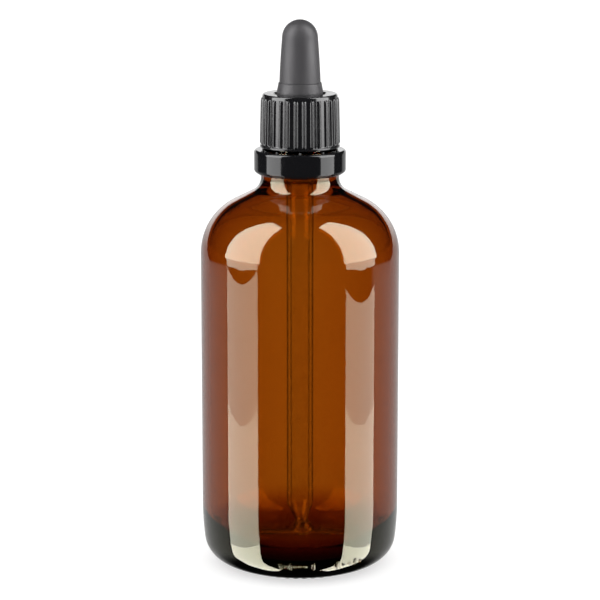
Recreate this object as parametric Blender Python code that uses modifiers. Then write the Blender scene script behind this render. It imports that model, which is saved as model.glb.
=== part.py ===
"""Amber glass dropper bottle: bottle, screw cap, tamper ring, rubber bulb and glass pipette.

Run with: blender --background --python part.py
Units are metres and +Z is up. The bottle stands on z = 0 with its axis on the Z axis.
"""

import math

import bmesh
import bpy
from mathutils import Matrix, Vector

MM = 0.001

# Driving sizes of the glass bottle
BODY_R = 23.5 * MM
BOTTLE_HEIGHT = 110.0 * MM
GLASS_WALL = 1.8 * MM
FLOOR_Z = 4.5 * MM
FLOOR_CROWN = 0.4 * MM
SHOULDER_R = 13.9 * MM
SHOULDER_SLOPE = math.radians(63.4)
NECK_R = 9.2 * MM
NECK_FILLET_R = 3.8 * MM
FINISH_HEIGHT = 16.3 * MM
FINISH_R = 7.3 * MM
BORE_R = 5.9 * MM
BORE_FILLET_R = 3.0 * MM
RIM_ROUND = 0.5 * MM
HEEL_HEIGHT = 14.6 * MM
HEEL_UPPER_R = 70.0 * MM
HEEL_LOWER_R = 6.4 * MM
INNER_HEEL_R = 5.0 * MM
BEARING_WIDTH = 2.8 * MM
BEARING_HEIGHT = 0.5 * MM
PUNT_Z = 1.8 * MM
NOTCH_COUNT = 50
NOTCH_DEPTH = 0.3 * MM
NOTCH_WIDTH = 0.9 * MM

# Snap bead and ledge that hold the tamper ring on the neck
LEDGE_ABOVE_RING = 0.7 * MM
GROOVE_DEPTH = 1.0 * MM
GROOVE_HEIGHT = 1.5 * MM
BEAD_BELOW_NECK = 0.1 * MM
BEAD_HEIGHT = 1.3 * MM
BEAD_RAMP = 1.1 * MM

# Thread shared by the bottle and the cap
THREAD_PITCH = 3.0 * MM
THREAD_TURNS = 1.25
THREAD_DEPTH = 0.7 * MM
THREAD_ROOT_WIDTH = 1.5 * MM
THREAD_CREST_WIDTH = 0.8 * MM
THREAD_SINK = 0.25 * MM
THREAD_START_BELOW_RIM = 5.8 * MM

# Screw cap
CAP_HEIGHT = 12.5 * MM
CAP_TOP_WALL = 1.5 * MM
CAP_R_TOP = 8.8 * MM
CAP_R_BOTTOM = 9.05 * MM
CAP_EDGE_ROUND = 0.45 * MM
CAP_THREAD_CLEARANCE = 0.25 * MM
CAP_HOLE_R = 5.95 * MM
CAP_HOLE_CHAMFER = 0.3 * MM
CAP_FOOT_HEIGHT = 0.5 * MM
RIB_COUNT = 30
RIB_R = 0.42 * MM
RIB_TOP_INSET = 1.0 * MM

# Tamper ring
RING_HEIGHT = 5.7 * MM
RING_WALL = 1.35 * MM
RING_CHAMFER = 0.9 * MM
RING_TOP_ROUND = 0.5 * MM
RING_CLEARANCE = 0.25 * MM
RING_LIP = 0.85 * MM
RING_LIP_HEIGHT = 0.6 * MM
BREAK_GAP = 0.7 * MM
POST_COUNT = 10
POST_R = 0.22 * MM
POST_SEAT = 0.375 * MM

# Rubber bulb
FLANGE_R = 7.6 * MM
FLANGE_THICKNESS = 1.3 * MM
PLUG_LENGTH = 4.6 * MM
SKIRT_R = 5.45 * MM
SKIRT_TOP_R = 5.05 * MM
SKIRT_HEIGHT = 2.5 * MM
TEAT_FOOT_R = 4.9 * MM
TEAT_R = 4.2 * MM
TEAT_HEIGHT = 14.45 * MM
TEAT_WALL = 1.2 * MM

# Glass pipette
PIPETTE_R = 3.2 * MM
PIPETTE_WALL = 0.9 * MM
PIPETTE_TIP_GAP = 0.45 * MM
TIP_R = 1.25 * MM
TIP_BORE_R = 0.45 * MM
TIP_LENGTH = 2.6 * MM
BALL_R = 2.4 * MM
TIP_NECK_R = 1.5 * MM
TIP_TAPER = 3.6 * MM
TIP_BEND = math.radians(17)
TIP_BEND_HEADING = math.radians(-70)

# Clearances between pieces that touch in the real object
SEAT_GAP = 0.3 * MM
SLIDE_GAP = 0.2 * MM
HALF_GAP = 0.3 * MM

# Facets round each turned piece
BOTTLE_STEPS = 64
CAP_STEPS = 60
RUBBER_STEPS = 32
PIPETTE_STEPS = 20
THREAD_STEPS_PER_TURN = 30

# Heights that follow from the sizes above
NECK_Z = BOTTLE_HEIGHT - FINISH_HEIGHT
FLANGE_Z = BOTTLE_HEIGHT + SEAT_GAP
FLANGE_TOP_Z = FLANGE_Z + FLANGE_THICKNESS
CAP_UNDERSIDE_Z = FLANGE_TOP_Z + SEAT_GAP
CAP_TOP_Z = CAP_UNDERSIDE_Z + CAP_TOP_WALL
CAP_BOTTOM_Z = CAP_TOP_Z - CAP_HEIGHT
RING_TOP_Z = CAP_BOTTOM_Z - BREAK_GAP
RING_BOTTOM_Z = RING_TOP_Z - RING_HEIGHT
LEDGE_Z = RING_BOTTOM_Z + LEDGE_ABOVE_RING
BEAD_Z = LEDGE_Z + GROOVE_HEIGHT
SKIRT_TOP_Z = CAP_TOP_Z + SKIRT_HEIGHT
TEAT_Z = SKIRT_TOP_Z + HALF_GAP
TEAT_TOP_Z = TEAT_Z + TEAT_HEIGHT
PLUG_Z = FLANGE_Z - PLUG_LENGTH
PIPETTE_TOP_Z = SKIRT_TOP_Z - SEAT_GAP
PIPETTE_TIP_Z = FLOOR_Z + FLOOR_CROWN + PIPETTE_TIP_GAP

# Radii that follow from the sizes above
THREAD_CREST_R = FINISH_R + THREAD_DEPTH
CAP_INNER_R = THREAD_CREST_R + CAP_THREAD_CLEARANCE
GROOVE_R = NECK_R - GROOVE_DEPTH
BEAD_R = NECK_R - BEAD_BELOW_NECK
RING_INNER_R = NECK_R + RING_CLEARANCE
RING_R = RING_INNER_R + RING_WALL
PLUG_R = BORE_R - SEAT_GAP
SLEEVE_R = PIPETTE_R + SLIDE_GAP
NECK_THROUGH_R = CAP_HOLE_R - SEAT_GAP - SLIDE_GAP


def clear_scene():
    """Empties the scene that Blender opens with."""
    for item in list(bpy.data.objects):
        bpy.data.objects.remove(item, do_unlink=True)


def make_collection(name):
    """Adds a collection under the scene."""
    collection = bpy.data.collections.new(name)
    bpy.context.scene.collection.children.link(collection)
    return collection


def make_material(name, colour, roughness, transmission=0.0):
    """A plain material in the piece's colour."""
    material = bpy.data.materials.new(name)
    material.use_nodes = True
    shader = material.node_tree.nodes["Principled BSDF"]
    shader.inputs["Base Color"].default_value = (*colour, 1.0)
    shader.inputs["Roughness"].default_value = roughness
    shader.inputs["Metallic"].default_value = 0.0
    shader.inputs["Transmission Weight"].default_value = transmission
    return material


def arc(centre_r, centre_z, radius, start, end, count):
    """Points on an arc in the profile plane, from angle start to angle end, both included."""
    points = []
    for i in range(count + 1):
        angle = start + (end - start) * i / count
        points.append((centre_r + radius * math.cos(angle), centre_z + radius * math.sin(angle)))
    return points


def turned(name, outline, steps, collection, closed=True):
    """Turns a profile round the Z axis. A closed profile is a ring's section, an open one ends on the axis."""
    mesh = bpy.data.meshes.new(name)
    verts = [(r, 0.0, z) for r, z in outline]
    edges = [(i, i + 1) for i in range(len(verts) - 1)]
    if closed:
        edges.append((len(verts) - 1, 0))
    mesh.from_pydata(verts, edges, [])
    piece = bpy.data.objects.new(name, mesh)
    collection.objects.link(piece)
    screw = piece.modifiers.new("Turn", "SCREW")
    screw.axis = "Z"
    screw.steps = steps
    screw.render_steps = steps
    screw.use_merge_vertices = True
    screw.merge_threshold = 0.00001
    screw.use_smooth_shade = True
    return piece


def from_bmesh(name, shape, collection):
    """Turns a bmesh into an object with outward faces."""
    bmesh.ops.recalc_face_normals(shape, faces=shape.faces[:])
    mesh = bpy.data.meshes.new(name)
    shape.to_mesh(mesh)
    shape.free()
    piece = bpy.data.objects.new(name, mesh)
    collection.objects.link(piece)
    return piece


def as_cutter(piece):
    """Marks an object as one that only shapes another."""
    piece.hide_render = True
    piece.display_type = "WIRE"
    return piece


def combine(piece, other, operation):
    """Adds an exact boolean of the other object to the piece."""
    boolean = piece.modifiers.new(other.name, "BOOLEAN")
    boolean.operation = operation
    boolean.solver = "EXACT"
    boolean.object = other


def finish(piece, material):
    """Gives the piece its material in every slot it needs."""
    piece.data.materials.clear()
    piece.data.materials.append(material)
    return piece


def shoulder_outline(radius, offset, neck_r, fillet_r, arc_points, fillet_points):
    """Points from the top of the straight body up to the neck, on a surface offset inwards from the outer one."""
    arc_r = SHOULDER_R - offset
    centre_r = radius - SHOULDER_R
    fillet_start_r = neck_r + fillet_r * (1 - math.cos(SHOULDER_SLOPE))
    arc_end_r = centre_r + arc_r * math.cos(SHOULDER_SLOPE)
    slope_run = arc_end_r - fillet_start_r
    slope_rise = slope_run * math.cos(SHOULDER_SLOPE) / math.sin(SHOULDER_SLOPE)
    fillet_centre_z = shoulder_z() + arc_r * math.sin(SHOULDER_SLOPE) + slope_rise
    fillet_centre_z += fillet_r * math.sin(SHOULDER_SLOPE)
    points = arc(centre_r, shoulder_z(), arc_r, 0.0, SHOULDER_SLOPE, arc_points)
    start = math.pi + SHOULDER_SLOPE
    points += arc(neck_r + fillet_r, fillet_centre_z, fillet_r, start, math.pi, fillet_points)
    return points


def shoulder_z():
    """Height at which the straight body ends, measured down from the neck."""
    fillet_start_r = NECK_R + NECK_FILLET_R * (1 - math.cos(SHOULDER_SLOPE))
    arc_end_r = BODY_R - SHOULDER_R * (1 - math.cos(SHOULDER_SLOPE))
    slope_rise = (arc_end_r - fillet_start_r) / math.tan(SHOULDER_SLOPE)
    return NECK_Z - slope_rise - (SHOULDER_R + NECK_FILLET_R) * math.sin(SHOULDER_SLOPE)


def heel_centre_r():
    """Radius at which the lower heel arc touches the base, so that both heel arcs are tangent."""
    drop = HEEL_HEIGHT - HEEL_LOWER_R - BEARING_HEIGHT
    return BODY_R - HEEL_UPPER_R + math.sqrt((HEEL_UPPER_R - HEEL_LOWER_R) ** 2 - drop**2)


def bottle_outline():
    """The bottle's section, from the middle of its inner floor over the rim to the middle of its base."""
    inner_r = BODY_R - GLASS_WALL
    inside = [(0.0, FLOOR_Z + FLOOR_CROWN), (0.55 * inner_r, FLOOR_Z + 0.6 * FLOOR_CROWN)]
    inside += arc(inner_r - INNER_HEEL_R, FLOOR_Z + INNER_HEEL_R, INNER_HEEL_R, -math.pi / 2, 0.0, 5)
    inside += shoulder_outline(BODY_R, GLASS_WALL, BORE_R, BORE_FILLET_R, 6, 3)
    rim = arc(BORE_R + RIM_ROUND, BOTTLE_HEIGHT - RIM_ROUND, RIM_ROUND, math.pi, math.pi / 2, 2)
    rim += arc(FINISH_R - RIM_ROUND, BOTTLE_HEIGHT - RIM_ROUND, RIM_ROUND, math.pi / 2, 0.0, 2)
    neck = [
        (FINISH_R, BEAD_Z + BEAD_HEIGHT + BEAD_RAMP),
        (BEAD_R, BEAD_Z + BEAD_HEIGHT),
        (BEAD_R, BEAD_Z + 0.2 * BEAD_HEIGHT),
        (GROOVE_R, BEAD_Z),
        (GROOVE_R, LEDGE_Z + 0.1 * GROOVE_HEIGHT),
        (NECK_R, LEDGE_Z),
    ]
    shoulder = shoulder_outline(BODY_R, 0.0, NECK_R, NECK_FILLET_R, 9, 4)
    shoulder.reverse()
    heel_r = heel_centre_r()
    lower_z = BEARING_HEIGHT + HEEL_LOWER_R
    meet = math.asin((HEEL_HEIGHT - lower_z) / (HEEL_UPPER_R - HEEL_LOWER_R))
    heel = arc(BODY_R - HEEL_UPPER_R, HEEL_HEIGHT, HEEL_UPPER_R, 0.0, -meet, 3)
    heel += arc(heel_r, lower_z, HEEL_LOWER_R, -meet, -math.pi / 2, 6)[1:]
    bearing_inner_r = heel_r - BEARING_WIDTH
    bearing = [
        (heel_r, 0.0),
        (bearing_inner_r, 0.0),
        (bearing_inner_r - BEARING_HEIGHT, BEARING_HEIGHT),
        (0.5 * bearing_inner_r, 0.25 * BEARING_HEIGHT + 0.75 * PUNT_Z),
        (0.0, PUNT_Z),
    ]
    return inside + rim + neck + shoulder + heel + bearing


def thread_ridge(name, wall_r, outward, first_z, collection):
    """One helical ridge. It climbs anticlockwise, so it is a right-hand thread."""
    side = 1.0 if outward else -1.0
    root_r = wall_r - side * THREAD_SINK
    crest_r = wall_r + side * THREAD_DEPTH
    section = [
        (root_r, -THREAD_ROOT_WIDTH / 2),
        (crest_r, -THREAD_CREST_WIDTH / 2),
        (crest_r, THREAD_CREST_WIDTH / 2),
        (root_r, THREAD_ROOT_WIDTH / 2),
    ]
    shape = bmesh.new()
    corners = [shape.verts.new((r, 0.0, first_z + z)) for r, z in section]
    shape.faces.new(corners)
    steps = round(THREAD_STEPS_PER_TURN * THREAD_TURNS)
    bmesh.ops.spin(
        shape,
        geom=shape.verts[:] + shape.edges[:] + shape.faces[:],
        cent=(0.0, 0.0, 0.0),
        axis=(0.0, 0.0, 1.0),
        dvec=(0.0, 0.0, THREAD_PITCH * THREAD_TURNS / steps),
        angle=2 * math.pi * THREAD_TURNS,
        steps=steps,
        use_duplicate=False,
    )
    return as_cutter(from_bmesh(name, shape, collection))


def base_notches(collection):
    """The radial grooves pressed in the ring that the bottle stands on."""
    shape = bmesh.new()
    outer_r = heel_centre_r()
    length = BEARING_WIDTH + 2 * MM
    centre_r = outer_r - BEARING_WIDTH / 2
    for i in range(NOTCH_COUNT):
        turn = Matrix.Rotation(2 * math.pi * (i + 0.5) / NOTCH_COUNT, 4, "Z")
        place = Matrix.Translation((centre_r, 0.0, 0.0))
        size = Matrix.Diagonal((length, NOTCH_WIDTH, 2 * NOTCH_DEPTH, 1.0))
        bmesh.ops.create_cube(shape, size=1.0, matrix=turn @ place @ size)
    return as_cutter(from_bmesh("base_notches", shape, collection))


def build_bottle(parts, cutters, material):
    """The amber glass bottle with its thread, snap bead and notched standing ring."""
    bottle = turned("glass_bottle", bottle_outline(), BOTTLE_STEPS, parts, closed=False)
    first_z = BOTTLE_HEIGHT - THREAD_START_BELOW_RIM
    ridge = thread_ridge("bottle_thread", FINISH_R, True, first_z, cutters)
    combine(bottle, ridge, "UNION")
    combine(bottle, base_notches(cutters), "DIFFERENCE")
    return finish(bottle, material)


def cap_ribs(collection):
    """The upright grip ribs, leaning out by the cap's draft."""
    shape = bmesh.new()
    low_z = CAP_BOTTOM_Z + CAP_FOOT_HEIGHT / 2
    high_z = CAP_TOP_Z - RIB_TOP_INSET
    length = high_z - low_z
    draft = math.atan((CAP_R_BOTTOM - CAP_R_TOP) / CAP_HEIGHT)
    middle_r = (CAP_R_TOP + CAP_R_BOTTOM) / 2 - 0.1 * RIB_R
    for i in range(RIB_COUNT):
        turn = Matrix.Rotation(2 * math.pi * i / RIB_COUNT, 4, "Z")
        place = Matrix.Translation((middle_r, 0.0, (low_z + high_z) / 2))
        lean = Matrix.Rotation(-draft, 4, "Y")
        bmesh.ops.create_cone(
            shape,
            cap_ends=True,
            segments=8,
            radius1=RIB_R,
            radius2=RIB_R,
            depth=length,
            matrix=turn @ place @ lean,
        )
    return as_cutter(from_bmesh("cap_ribs", shape, collection))


def build_cap(parts, cutters, material):
    """The ribbed screw cap with its inner thread and the hole that the bulb stands in."""
    foot_r = CAP_R_BOTTOM + 0.8 * RIB_R
    foot_z = CAP_BOTTOM_Z + CAP_FOOT_HEIGHT
    outline = [(CAP_HOLE_R + CAP_HOLE_CHAMFER, CAP_TOP_Z)]
    edge_z = CAP_TOP_Z - CAP_EDGE_ROUND
    outline += arc(CAP_R_TOP - CAP_EDGE_ROUND, edge_z, CAP_EDGE_ROUND, math.pi / 2, 0.0, 3)
    outline += [
        (CAP_R_BOTTOM, foot_z),
        (foot_r, foot_z),
        (foot_r, CAP_BOTTOM_Z),
        (CAP_INNER_R, CAP_BOTTOM_Z),
        (CAP_INNER_R, CAP_UNDERSIDE_Z),
        (CAP_HOLE_R, CAP_UNDERSIDE_Z),
        (CAP_HOLE_R, CAP_TOP_Z - CAP_HOLE_CHAMFER),
    ]
    cap = turned("screw_cap", outline, CAP_STEPS, parts)
    first_z = BOTTLE_HEIGHT - THREAD_START_BELOW_RIM - THREAD_PITCH / 2
    ridge = thread_ridge("cap_thread", CAP_INNER_R, False, first_z, cutters)
    combine(cap, ridge, "UNION")
    combine(cap, cap_ribs(cutters), "UNION")
    return finish(cap, material)


def ring_posts(collection, post_r):
    """Stubs of the snapped bridges that once tied the ring to the cap."""
    shape = bmesh.new()
    top_z = CAP_BOTTOM_Z - SEAT_GAP
    low_z = RING_TOP_Z - SEAT_GAP
    for i in range(POST_COUNT):
        turn = Matrix.Rotation(2 * math.pi * (i + 0.5) / POST_COUNT, 4, "Z")
        place = Matrix.Translation((post_r, 0.0, (top_z + low_z) / 2))
        bmesh.ops.create_cone(
            shape,
            cap_ends=True,
            segments=8,
            radius1=1.6 * POST_R,
            radius2=POST_R,
            depth=top_z - low_z,
            matrix=turn @ place,
        )
    return as_cutter(from_bmesh("ring_posts", shape, collection))


def build_ring(parts, cutters, material):
    """The tamper ring, snapped under the neck bead and free to turn."""
    lip_r = RING_INNER_R - RING_LIP
    lip_z = LEDGE_Z + SEAT_GAP
    top_lip_z = RING_TOP_Z - 0.7 * MM
    post_r = CAP_R_BOTTOM + 0.06 * RIB_R
    top_lip_r = post_r - POST_SEAT
    rounding_z = RING_TOP_Z - RING_TOP_ROUND
    outline = arc(RING_R - RING_TOP_ROUND, rounding_z, RING_TOP_ROUND, math.pi / 2, 0.0, 3)
    outline += [
        (RING_R, RING_BOTTOM_Z + RING_CHAMFER),
        (RING_R - 0.2 * RING_CHAMFER, RING_BOTTOM_Z + 0.6 * RING_CHAMFER),
        (RING_R - RING_CHAMFER, RING_BOTTOM_Z),
        (RING_INNER_R, RING_BOTTOM_Z),
        (RING_INNER_R, lip_z),
        (lip_r, lip_z + 0.2 * RING_LIP_HEIGHT),
        (lip_r, lip_z + RING_LIP_HEIGHT),
        (RING_INNER_R, lip_z + 1.4 * RING_LIP_HEIGHT),
        (RING_INNER_R, top_lip_z),
        (top_lip_r, top_lip_z),
        (top_lip_r, RING_TOP_Z),
    ]
    ring = turned("tamper_ring", outline, CAP_STEPS, parts)
    combine(ring, ring_posts(cutters, post_r), "UNION")
    return finish(ring, material)


def build_bulb_collar(parts, material):
    """The foot of the rubber bulb: plug in the bore, flange on the rim, neck through the cap and skirt above it."""
    skirt_z = CAP_TOP_Z + 0.1 * SKIRT_HEIGHT
    outline = [
        (SLEEVE_R, SKIRT_TOP_Z),
        (SKIRT_TOP_R, SKIRT_TOP_Z),
        (SKIRT_R, skirt_z),
        (NECK_THROUGH_R, CAP_TOP_Z - CAP_TOP_WALL / 2),
        (NECK_THROUGH_R, FLANGE_TOP_Z),
        (FLANGE_R, FLANGE_TOP_Z),
        (FLANGE_R, FLANGE_Z),
        (PLUG_R, FLANGE_Z),
        (PLUG_R, PLUG_Z + SEAT_GAP),
        (PLUG_R - SEAT_GAP, PLUG_Z),
        (SLEEVE_R, PLUG_Z),
    ]
    return finish(turned("bulb_collar", outline, RUBBER_STEPS, parts), material)


def teat_outline():
    """The squeezed part of the bulb in section, from its top over the outside, the foot and the cavity."""
    dome_z = TEAT_TOP_Z - TEAT_R
    inner_top_r = TEAT_R - TEAT_WALL
    outline = arc(0.0, dome_z, TEAT_R, math.pi / 2, 0.0, 7)
    outline[0] = (0.0, TEAT_TOP_Z)
    outline.append((TEAT_FOOT_R, TEAT_Z))
    outline.append((TEAT_FOOT_R - TEAT_WALL, TEAT_Z))
    cavity = arc(0.0, dome_z, inner_top_r, 0.0, math.pi / 2, 5)
    cavity[-1] = (0.0, TEAT_TOP_Z - TEAT_WALL)
    return outline + cavity


def build_teat_half(name, side, parts, cutters, material):
    """One wall of the bulb, which a finger presses inwards. side is -1 for the left wall and 1 for the right."""
    half = turned(name, teat_outline(), RUBBER_STEPS, parts, closed=False)
    shape = bmesh.new()
    size = 3 * TEAT_FOOT_R
    centre = Vector((-side * (size - HALF_GAP) / 2, 0.0, TEAT_Z + TEAT_HEIGHT / 2))
    block = Matrix.Translation(centre) @ Matrix.Diagonal((size, size, 2 * TEAT_HEIGHT, 1.0))
    bmesh.ops.create_cube(shape, size=1.0, matrix=block)
    combine(half, as_cutter(from_bmesh(name + "_cut", shape, cutters)), "DIFFERENCE")
    return finish(half, material)


def pipette_outline():
    """The pipette's section, upright: open head, straight tube, drawn neck, ball and open tip."""
    tip_z = PIPETTE_TIP_Z
    ball_z = tip_z + TIP_LENGTH
    neck_z = ball_z + 1.05 * BALL_R
    tube_z = neck_z + TIP_TAPER
    bore_r = PIPETTE_R - PIPETTE_WALL
    ball_low = -math.acos(TIP_R / BALL_R)
    ball_high = math.acos(TIP_NECK_R / BALL_R)
    outside = [
        (PIPETTE_R - 0.3 * PIPETTE_WALL, PIPETTE_TOP_Z),
        (PIPETTE_R, PIPETTE_TOP_Z - 0.3 * PIPETTE_WALL),
        (PIPETTE_R, tube_z),
        (0.5 * (PIPETTE_R + TIP_NECK_R), (tube_z + neck_z) / 2),
    ]
    outside += arc(0.0, ball_z, BALL_R, ball_high, ball_low, 6)
    outside.append((TIP_R - 0.2 * MM, tip_z))
    inside = [
        (TIP_BORE_R, tip_z),
        (TIP_BORE_R, ball_z - 0.5 * BALL_R),
        (BALL_R - PIPETTE_WALL, ball_z),
        (TIP_NECK_R - 0.5 * PIPETTE_WALL, neck_z),
        (bore_r, tube_z),
        (bore_r, PIPETTE_TOP_Z),
    ]
    return outside + inside


def build_pipette(parts, material):
    """The glass pipette, with its ball tip bent off the axis."""
    straight = turned("pipette_straight", pipette_outline(), PIPETTE_STEPS, parts)
    evaluated = straight.evaluated_get(bpy.context.evaluated_depsgraph_get())
    mesh = bpy.data.meshes.new_from_object(evaluated)
    bpy.data.objects.remove(straight, do_unlink=True)
    shape = bmesh.new()
    shape.from_mesh(mesh)
    bend_z = PIPETTE_TIP_Z + TIP_LENGTH + BALL_R + TIP_TAPER
    heading = Vector((math.cos(TIP_BEND_HEADING), math.sin(TIP_BEND_HEADING), 0.0))
    hinge = Vector((0.0, 0.0, 1.0)).cross(heading)
    pivot = Vector((0.0, 0.0, bend_z))
    for vert in shape.verts:
        share = min(1.0, max(0.0, (bend_z - vert.co.z) / TIP_TAPER))
        turn = Matrix.Rotation(-TIP_BEND * share, 3, hinge)
        vert.co = pivot + turn @ (vert.co - pivot)
    lowest = min(vert.co.z for vert in shape.verts)
    for vert in shape.verts:
        share = min(1.0, max(0.0, (bend_z - vert.co.z) / TIP_TAPER))
        vert.co.z += (PIPETTE_TIP_Z - lowest) * share
    pipette = from_bmesh("glass_pipette", shape, parts)
    for face in pipette.data.polygons:
        face.use_smooth = True
    return finish(pipette, material)


def main():
    """Builds every piece of the dropper bottle."""
    clear_scene()
    parts = make_collection("dropper_bottle")
    cutters = make_collection("cutters")
    amber = make_material("amber_glass", (0.32, 0.12, 0.02), 0.04, 0.9)
    clear = make_material("clear_glass", (0.92, 0.94, 0.93), 0.03, 0.95)
    black = make_material("black_plastic", (0.02, 0.02, 0.022), 0.3)
    rubber = make_material("black_rubber", (0.05, 0.05, 0.052), 0.65)
    build_bottle(parts, cutters, amber)
    build_cap(parts, cutters, black)
    build_ring(parts, cutters, black)
    build_bulb_collar(parts, rubber)
    build_teat_half("bulb_wall_left", -1, parts, cutters, rubber)
    build_teat_half("bulb_wall_right", 1, parts, cutters, rubber)
    build_pipette(parts, clear)


main()
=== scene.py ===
"""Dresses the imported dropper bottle: amber glass, ribbed cap, tamper ring, rubber bulb and glass pipette.

Every piece is turned or pressed from its own sizes, in metres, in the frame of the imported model.
"""

import logging
import math
from collections.abc import Callable
from dataclasses import dataclass
from enum import Enum

import bmesh
import bpy
from mathutils import Matrix, Vector

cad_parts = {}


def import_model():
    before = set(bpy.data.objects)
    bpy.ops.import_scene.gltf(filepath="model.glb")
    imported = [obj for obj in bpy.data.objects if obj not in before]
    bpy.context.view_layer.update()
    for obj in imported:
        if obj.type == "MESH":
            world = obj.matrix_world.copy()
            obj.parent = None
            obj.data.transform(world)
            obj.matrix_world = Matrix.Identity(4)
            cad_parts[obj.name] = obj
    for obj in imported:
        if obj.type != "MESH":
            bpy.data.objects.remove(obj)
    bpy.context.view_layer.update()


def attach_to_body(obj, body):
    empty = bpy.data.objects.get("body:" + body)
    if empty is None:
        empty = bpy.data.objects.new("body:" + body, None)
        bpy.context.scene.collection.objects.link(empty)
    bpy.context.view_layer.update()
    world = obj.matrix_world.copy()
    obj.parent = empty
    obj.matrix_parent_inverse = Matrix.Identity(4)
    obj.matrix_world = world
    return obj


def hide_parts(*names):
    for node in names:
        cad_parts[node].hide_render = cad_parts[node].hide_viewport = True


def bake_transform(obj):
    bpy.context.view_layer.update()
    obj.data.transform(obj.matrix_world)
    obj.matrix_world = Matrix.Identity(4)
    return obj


LOG = logging.getLogger("dropper_bottle")

MM = 0.001
TAU = 2.0 * math.pi
MERGE_DISTANCE = 1e-7

Point = tuple[float, float]
Corner = tuple[float, float, float]
Colour = tuple[float, float, float]


class Body(Enum):
    """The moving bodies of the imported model."""

    BOTTLE = "bottle"
    TAMPER = "tamper"
    PIPETTE = "pipette"
    BULB = "bulb"
    CAP = "cap"
    BULB_LEFT = "bulb_left"
    BULB_RIGHT = "bulb_right"


class Slot(Enum):
    """Names of the material slots."""

    AMBER_GLASS = "amber_glass"
    CLEAR_GLASS = "clear_glass"
    CAP_PLASTIC = "cap_plastic"
    RING_PLASTIC = "ring_plastic"
    BULB_RUBBER = "bulb_rubber"


class Side(Enum):
    """The two walls of the bulb, by the sign of their X."""

    LEFT = -1
    RIGHT = 1


# ---------------------------------------------------------------------------
# Profiles and turned shapes
# ---------------------------------------------------------------------------


def smooth_step(value: float) -> float:
    """Returns a soft 0 to 1 ramp of a value that is clamped to 0 and 1."""
    share = min(1.0, max(0.0, value))
    return share * share * (3.0 - 2.0 * share)


def arc(centre: Point, radius: float, start: float, end: float, count: int) -> list[Point]:
    """Lays points along an arc of the profile plane.

    Args:
        centre: The arc's centre as radius and height.
        radius: The arc's radius.
        start: The first angle in radians, from the outward direction.
        end: The last angle.
        count: The number of straight steps.

    Returns:
        The points, both ends included.
    """
    angles = [start + (end - start) * i / count for i in range(count + 1)]
    return [(centre[0] + radius * math.cos(a), centre[1] + radius * math.sin(a)) for a in angles]


def rounded(corners: list[Corner], segments: int) -> list[Point]:
    """Rounds each corner of an open line by its own radius.

    Args:
        corners: Radius from the axis, height and corner rounding of each corner.
        segments: The straight steps in each rounding.

    Returns:
        The points of the rounded line.
    """
    points = [corners[0][:2]]
    for before, corner, after in zip(corners, corners[1:], corners[2:]):
        here = Vector(corner[:2])
        back = Vector(before[:2]) - here
        ahead = Vector(after[:2]) - here
        opening = back.angle(ahead)
        if corner[2] <= 0.0 or opening > math.radians(178.0):
            points.append(corner[:2])
            continue
        reach = min(corner[2] / math.tan(opening / 2), 0.49 * back.length, 0.49 * ahead.length)
        first = here + back.normalized() * reach
        last = here + ahead.normalized() * reach
        middle = (back.normalized() + ahead.normalized()).normalized()
        centre = here + middle * (reach / math.cos(opening / 2))
        from_centre = first - centre
        sweep = from_centre.angle_signed(last - centre)
        for i in range(segments + 1):
            turn = Matrix.Rotation(-sweep * i / segments, 2)
            points.append(tuple(centre + turn @ from_centre))
    points.append(corners[-1][:2])
    return points


def supported(points: list[Point], reach: float) -> list[Point]:
    """Adds a point near both ends of every long step, which keeps smooth shading flat between them."""
    out = [points[0]]
    for a, b in zip(points, points[1:]):
        step = Vector(b) - Vector(a)
        if step.length > 4 * reach:
            out.append(tuple(Vector(a) + step.normalized() * reach))
            out.append(tuple(Vector(b) - step.normalized() * reach))
        out.append(b)
    return out


def turned(profile: list[Point], steps: int) -> bmesh.types.BMesh:
    """Turns a profile once round the Z axis.

    Args:
        profile: The line as radius and height. It ends on the axis or closes on itself.
        steps: The number of columns round the axis.

    Returns:
        The closed shape with outward faces.
    """
    shape = bmesh.new()
    line = [shape.verts.new((r, 0.0, z)) for r, z in profile]
    edges = [shape.edges.new(pair) for pair in zip(line, line[1:])]
    bmesh.ops.spin(
        shape,
        geom=line + edges,
        cent=(0.0, 0.0, 0.0),
        axis=(0.0, 0.0, 1.0),
        angle=TAU,
        steps=steps,
        use_merge=True,
    )
    bmesh.ops.remove_doubles(shape, verts=shape.verts[:], dist=MERGE_DISTANCE)
    bmesh.ops.recalc_face_normals(shape, faces=shape.faces[:])
    return shape


def reshape(shape: bmesh.types.BMesh, radius_at: Callable[[float, float, float], float]) -> None:
    """Moves every point of a turned shape in or out from the axis.

    Args:
        shape: The shape to press.
        radius_at: Gives the new radius from the old radius, the angle from +X and the height.
    """
    for vert in shape.verts:
        radius = math.hypot(vert.co.x, vert.co.y)
        if radius < MERGE_DISTANCE:
            continue
        angle = math.atan2(vert.co.y, vert.co.x) % TAU
        share = radius_at(radius, angle, vert.co.z) / radius
        vert.co.x *= share
        vert.co.y *= share


def shade(shape: bmesh.types.BMesh, crease_degrees: float) -> None:
    """Smooths all faces and keeps the edges that turn by more than the crease angle sharp."""
    limit = math.radians(crease_degrees)
    for face in shape.faces:
        face.smooth = True
    for edge in shape.edges:
        edge.smooth = not (len(edge.link_faces) == 2 and edge.calc_face_angle() > limit)


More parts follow.
